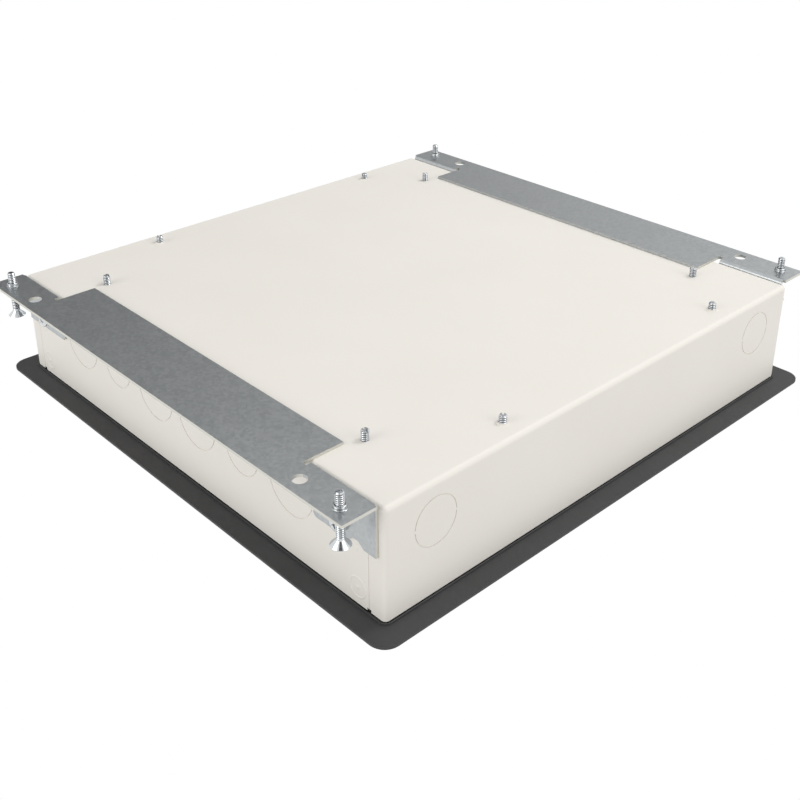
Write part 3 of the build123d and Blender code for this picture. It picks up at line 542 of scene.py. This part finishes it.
low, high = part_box("bracket_screws")
middle_z = (low.z + high.z) / 2
washers_low, washers_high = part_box("bracket_washers")
places = []
for side, seat in ((-1, washers_low.x), (1, washers_high.x)):
    outwards = Matrix.Rotation(side * pi / 2, 4, "Y")
    for y, further in ((low.y + PAN_RADIUS, 0), (high.y - PAN_RADIUS, side * TAB_SCREW_FURTHER)):
        spin = Matrix.Rotation(radians(TAB_SCREW_TURN + further), 4, "Z")
        places.append(Matrix.Translation((seat, y, middle_z)) @ outwards @ spin)
copies("bracket_screw_set", pan_headed("bracket_screw", TAB_SCREW_LENGTH), places,
       "bracket_screws")


# Washers: zinc-plated rings under the bracket screws' heads. They were punched and then
# tumbled, so they are duller than the screws.
WASHER_SCRATCH = 0.6 * MM
WASHER_DARK = colour(170, 174, 176)
WASHER_PALE = colour(204, 207, 208)
WASHER_RELIEF = 0.01 * MM


def washer_look(place):
    look = worn_metal(place, WASHER_SCRATCH, WASHER_DARK, WASHER_PALE, 0.24, 0.40)
    look["Normal"] = place.noise(WASHER_SCRATCH, 3).bump(WASHER_RELIEF, 0.4)
    return look


dress(finish("tumbled_zinc", washer_look), "bracket_washers")


# Base screws: four long ones hold the carriers and four short ones the lid supports.
# They are zinc-plated, driven from inside, and their fluted tips stand out of the base.
BASE_SCREW_FURTHER = 31
# node, its flutes' turn in degrees, and how much shorter than the CAD screws they are
BASE_SCREWS = (("carrier_screws", 70, 1.5 * MM), ("support_screws", 110, 0.5 * MM))


def four_places(node, head_radius, height, turn, further):
    """Places of a node's four upright screws, each turned further than the last."""
    low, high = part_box(node)
    centres = [(x, y) for x in (low.x + head_radius, high.x - head_radius)
               for y in (low.y + head_radius, high.y - head_radius)]
    turns = [Matrix.Rotation(radians(turn + further * i), 4, "Z") for i in range(len(centres))]
    return [Matrix.Translation((x, y, height)) @ spin for (x, y), spin in zip(centres, turns)]


for node, flute_turn, less in BASE_SCREWS:
    low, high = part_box(node)
    seat = high.z - PAN_HEIGHT
    length = seat - low.z - less
    screw = pan_headed(f"{node[:-1]}_turned", length)
    fluted(screw, -length, radians(flute_turn))
    places = four_places(node, PAN_RADIUS, seat, 0, BASE_SCREW_FURTHER)
    copies(f"{node[:-1]}_set", screw, places, node)


# Carriers and lid supports: folded from the same zinc-coated sheet as the brackets.
# The base screws hold them to the inside of the base.
dress(finish("zinc_sheet", zinc_sheet_look),
      "power_carrier", "data_carrier", "lid_support_front", "lid_support_rear")


# Modules: sockets, switch, data outlets and blanks, clipped into the carriers. They are
# moulded in white plastic, slightly glossy, with the fine texture of the mould.
MODULE_DEEP = colour(232, 232, 228)
MODULE_PALE = colour(240, 240, 236)
MODULE_TONE = 30 * MM
MODULE_GRAIN = 0.5 * MM
MODULE_RELIEF = 0.01 * MM


def module_look(place):
    grain = place.noise(MODULE_GRAIN)
    return {
        "Base Color": place.noise(MODULE_TONE).between(MODULE_DEEP, MODULE_PALE),
        "Roughness": 0.32 + 0.1 * grain,
        "Normal": grain.bump(MODULE_RELIEF, 0.4),
    }


dress(finish("module_white", module_look),
      "socket_outlet_1", "socket_outlet_2", "socket_outlet_3", "switch_module",
      "data_outlet_1", "data_outlet_2", "blank_module_1", "blank_module_2")


# Rocker: the switch's key, moulded in the same white. Its mould was polished, so it is
# glossier than the modules round it.
ROCKER_DEEP = colour(236, 236, 232)
ROCKER_PALE = colour(244, 244, 240)
ROCKER_TONE = 8 * MM


def rocker_look(place):
    tone = place.noise(ROCKER_TONE)
    return {
        "Base Color": tone.between(ROCKER_DEEP, ROCKER_PALE),
        "Roughness": 0.16 + 0.06 * tone,
        "Coat Weight": 0.3 + 0.1 * tone,
    }


dress(finish("rocker_white", rocker_look), "switch_rocker")


# Earth stud: a brass stud with two nuts and two washers, screwed together inside the
# box. The brass is stained in patches.
BRASS_STAIN = 2.5 * MM
BRASS_DARK = colour(176, 140, 72)
BRASS_PALE = colour(214, 180, 104)
BRASS_GRAIN = 0.4 * MM
BRASS_RELIEF = 0.01 * MM


def brass_look(place):
    look = worn_metal(place, BRASS_STAIN, BRASS_DARK, BRASS_PALE, 0.20, 0.36)
    look["Normal"] = place.noise(BRASS_GRAIN).bump(BRASS_RELIEF, 0.4)
    return look


earth_brass = finish("earth_brass", brass_look)
dress(earth_brass, "earth_stud", "earth_nuts", "earth_washers")


# Outlet contacts: a sprung, tinned earth clip stands at the top and bottom of each round
# recess. Eight gilt wires slope back from the mouth of each data jack.
PANEL_LEAN = radians(15)
FACE_X = 100.49 * MM
FACE_Z = 34.67 * MM
CLIP_LINE = [(19.6, 3.0), (18.3, 4.2), (17.4, 5.8), (17.1, 7.6), (17.5, 9.6), (18.2, 12.5),
             (18.9, 16.0)]
CLIP_WIDTH = 5.0
CLIP_THICKNESS = 0.5
WIRE_LINE = [(-4.2, 1.2), (-2.6, 7.0), (-1.3, 14.0)]
WIRE_COUNT = 8
WIRE_PITCH = 1.02
WIRE_SIZE = 0.38


def module_face(side, node):
    """Millimetres on a module's front: x up the slope, z out of the front."""
    low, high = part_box(node)
    up = Vector((side * sin(PANEL_LEAN), 0, cos(PANEL_LEAN)))
    out = Vector((-side * cos(PANEL_LEAN), 0, sin(PANEL_LEAN)))
    turn = Matrix((up, out.cross(up), out)).transposed().to_4x4()
    middle = Matrix.Translation((side * FACE_X, (low.y + high.y) / 2, FACE_Z))
    return middle @ turn @ Matrix.Scale(MM, 4)


def spring(mesh, place, line, middle, width, thickness):
    """A flat spring along a line of heights on the face and depths behind it."""
    closed(mesh, [[mesh.verts.new(place @ Vector((height + out, middle + y * width / 2, -depth)))
                   for out, y in ((0, -1), (0, 1), (thickness, 1), (thickness, -1))]
                  for height, depth in line])


mesh = bmesh.new()
for number in (1, 2, 3):
    for turn in (0, pi):
        place = module_face(-1, f"socket_outlet_{number}") @ Matrix.Rotation(turn, 4, "Z")
        spring(mesh, place, CLIP_LINE, 0, CLIP_WIDTH, CLIP_THICKNESS)
placed(piece("earth_clips", mesh, bright_zinc), AS_BUILT, "box")

mesh = bmesh.new()
for number in (1, 2):
    place = module_face(1, f"data_outlet_{number}")
    for wire in range(WIRE_COUNT):
        middle = (wire - (WIRE_COUNT - 1) / 2) * WIRE_PITCH
        spring(mesh, place, WIRE_LINE, middle, WIRE_SIZE, WIRE_SIZE)
placed(piece("data_contacts", mesh, earth_brass, smooth=False), AS_BUILT, "box")


# Gasket: a strip of black closed-cell foam, stuck down between the box's rim and the
# frame.
FOAM_BLACK = colour(20, 20, 20)
FOAM_GREY = colour(44, 44, 44)
FOAM_PORE = 0.6 * MM
PORE_DEPTH = 0.1 * MM


def foam_look(place):
    pore = place.cells(FOAM_PORE, "Distance")
    return {
        "Base Color": pore.between(FOAM_BLACK, FOAM_GREY),
        "Roughness": 0.9 + 0.08 * pore,
        "Normal": pore.bump(PORE_DEPTH, 0.6),
    }


dress(finish("gasket_foam", foam_look), "frame_gasket")


# Trim frame, lid frame, flaps and handle: moulded in dark grey glass-filled plastic. It
# is matt from a spark-eroded mould, with the faint mottle of the glass.
TRIM_DARK = colour(58, 58, 59)
TRIM_PALE = colour(68, 68, 69)
GLASS_MOTTLE = 22 * MM
SPARK_GRAIN = 0.35 * MM
SPARK_DEPTH = 0.03 * MM


def trim_look(place):
    grain = place.noise(SPARK_GRAIN, 3)
    return {
        "Base Color": place.noise(GLASS_MOTTLE, 4).between(TRIM_DARK, TRIM_PALE),
        "Roughness": 0.46 + 0.16 * grain,
        "Normal": grain.bump(SPARK_DEPTH, 0.5),
        "Specular IOR Level": 0.28,
    }


dress(finish("trim_plastic", trim_look),
      "trim_frame", "lid_frame", "cable_flap_left", "cable_flap_right", "lid_handle")


# Frame screws and pins: small bright countersunk screws through the flange's corners,
# and plain drawn-steel pins on which the lid, the flaps and the handle turn.
FRAME_SCREW_HEAD = 3.0 * MM
FRAME_SCREW_RADIUS = 1.5 * MM
FRAME_SCREW_TURN = 20
FRAME_SCREW_FURTHER = 25

low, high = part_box("frame_screws")
screw = countersunk("frame_screw", FRAME_SCREW_RADIUS, FRAME_SCREW_HEAD, high.z - low.z)
places = four_places("frame_screws", FRAME_SCREW_HEAD, high.z, FRAME_SCREW_TURN,
                     FRAME_SCREW_FURTHER)
copies("frame_screw_set", screw, places, "frame_screws")
dress(bright_zinc, "hinge_pins", "flap_pins", "handle_pin")


# Lid plate: a steel sheet set in the lid frame, which takes the floor covering. Its face
# is brushed along the hinge and lacquered.
PLATE_DARK = colour(150, 152, 154)
PLATE_PALE = colour(190, 192, 193)
BRUSH_LENGTH = 30 * MM
BRUSH_NARROWING = 60
BRUSH_DEPTH = 0.01 * MM
PLATE_CLOUD = 40 * MM


def plate_look(place):
    brush = place.stretched(1, BRUSH_NARROWING, BRUSH_NARROWING).noise(BRUSH_LENGTH, 4)
    shade = 0.7 * brush + 0.3 * place.noise(PLATE_CLOUD)
    return {
        "Base Color": shade.between(PLATE_DARK, PLATE_PALE),
        "Metallic": 1.0,
        "Roughness": 0.28 + 0.2 * brush,
        "Normal": brush.bump(BRUSH_DEPTH, 0.4),
    }


dress(finish("brushed_plate", plate_look), "lid_plate")


# Stage: a pale matt floor under the levelling screws. It shows only from above, so the
# view from below sees past it, and it fades into the white surround away from the box.
FLOOR_SIZE = 3.0
FLOOR_WHITE = colour(244, 244, 242)
FADE_START = 0.45
FADE_END = 1.55


def floor_look(place):
    return {"Base Color": FLOOR_WHITE, "Roughness": 0.9}


def flat_square(name, size, material):
    """A flat square that reaches size from the origin each way."""
    mesh = bmesh.new()
    bmesh.ops.create_grid(mesh, x_segments=1, y_segments=1, size=size)
    return piece(name, mesh, material, smooth=False)


floor_paint = finish("floor", floor_look)
tree = floor_paint.node_tree
start = Link(tree)
seen = start.node("ShaderNodeLightPath", {}, {}, "Is Camera Ray")
under = start.node("ShaderNodeNewGeometry", {}, {}, "Backfacing")
spot = start.node("ShaderNodeTexCoord", {}, {}, "Object")
reach = start.node("ShaderNodeVectorMath", {"operation": "LENGTH"}, {0: spot}, "Value")
fade = start.node("ShaderNodeMapRange", {"interpolation_type": "SMOOTHSTEP"},
                  {0: reach, 1: FADE_START, 2: FADE_END, 3: 1.0, 4: 0.0})
clear = start.node("ShaderNodeBsdfTransparent", {}, {})
paint = Link(tree, tree.nodes["Principled BSDF"].outputs[0])
shown = start.node("ShaderNodeMixShader", {}, {0: seen * (1 - under) * fade, 1: clear, 2: paint})
feed(tree, tree.nodes["Material Output"].inputs["Surface"], shown)
floor = flat_square("floor", FLOOR_SIZE, floor_paint)
floor.location.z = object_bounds()[0].z


# Camera: below the box and turned over, since the photograph shows it lying on its lid.
# A small downward shift stands for the photograph's straightened uprights.
CAMERA_AT = Vector((-393.1, 418.9, -257.3)) * MM
CAMERA_AIM = Vector((44.7, -49.5, 40.0)) * MM
CAMERA_LENS = 51.2
CAMERA_SHIFT = -0.15

sight = (CAMERA_AIM - CAMERA_AT).normalized()
right = sight.cross(Vector((0, 0, -1))).normalized()
camera_data = bpy.data.cameras.new("camera")
camera_data.lens = CAMERA_LENS
camera_data.shift_y = CAMERA_SHIFT
camera = bpy.data.objects.new("camera", camera_data)
camera.matrix_world = Matrix.Translation(CAMERA_AT) @ Matrix(
    (right, right.cross(sight), -sight)).transposed().to_4x4()
bpy.context.scene.collection.objects.link(camera)
bpy.context.scene.camera = camera


# Studio: a white surround that the metal also mirrors, a lamp over the underside, two
# broad low ones beside the walls and one for the lid. Grey flags that only the metal
# mirrors let bright zinc read against pale enamel.
SURROUND_FILL = 0.60
LIT_POINT = Vector((0, 0, 30)) * MM
# name, place, size in metres and power in watts
LAMPS = (("underside_lamp", (0.8, 0.32, -1.18), 0.5, 6.8),
         ("left_fill", (-1.55, -0.2, -0.45), 1.0, 8.6),
         ("right_fill", (0.2, 1.55, -0.45), 1.0, 6.8),
         ("top_lamp", (0.5, -0.6, 1.3), 1.0, 13))
# name, place, width and height in metres, and the brightness of its left and right sides
FLAGS = (("side_flag", (0.85, -1.0, -0.56), 1.7, 1.1, 0.10, 0.80),
         ("overhead_flag", (-0.36, 0.38, -1.10), 0.30, 0.9, 0.03, 0.03),
         ("camera_flag", (-0.80, 0.86, -0.50), 0.7, 0.45, 0.12, 0.12))


def aimed(made, at):
    """Stands an object at a place, with its Z side turned away from the box."""
    made.rotation_mode = "QUATERNION"
    made.location = at
    made.rotation_quaternion = (Vector(at) - LIT_POINT).to_track_quat("Z", "Y")


def grey(level):
    return (level, level, level, 1)


def flag_look(place, left_grey, right_grey):
    """A plain glow, from one grey at the flag's left side to another at its right."""
    across = place.axes()[0] + 0.5
    return {
        "Base Color": grey(0),
        "Specular IOR Level": 0,
        "Emission Strength": 1,
        "Emission Color": across.between(grey(left_grey), grey(right_grey)),
    }


for name, at, size, power in LAMPS:
    lamp_data = bpy.data.lights.new(name, "AREA")
    lamp_data.shape = "SQUARE"
    lamp_data.size = size
    lamp_data.energy = power
    lamp = bpy.data.objects.new(name, lamp_data)
    aimed(lamp, at)
    bpy.context.scene.collection.objects.link(lamp)

for name, at, width, height, *greys in FLAGS:
    flag = flat_square(name, 0.5, finish(name, lambda place: flag_look(place, *greys)))
    flag.scale = (width, height, 1)
    aimed(flag, at)
    flag.visible_camera = False
    flag.visible_diffuse = False
    flag.visible_transmission = False
    flag.visible_shadow = False

world = bpy.data.worlds.new("studio")
world.use_nodes = True
tree = world.node_tree
camera_ray = Link(tree).node("ShaderNodeLightPath", {}, {}, "Is Camera Ray")
seen = camera_ray | camera_ray.also("Is Glossy Ray") | camera_ray.also("Is Transmission Ray")
background = tree.nodes["Background"]
background.inputs["Color"].default_value = grey(1)
feed(tree, background.inputs["Strength"], SURROUND_FILL + (1 - SURROUND_FILL) * seen)
bpy.context.scene.world = world
bpy.context.scene.view_settings.view_transform = "Standard"
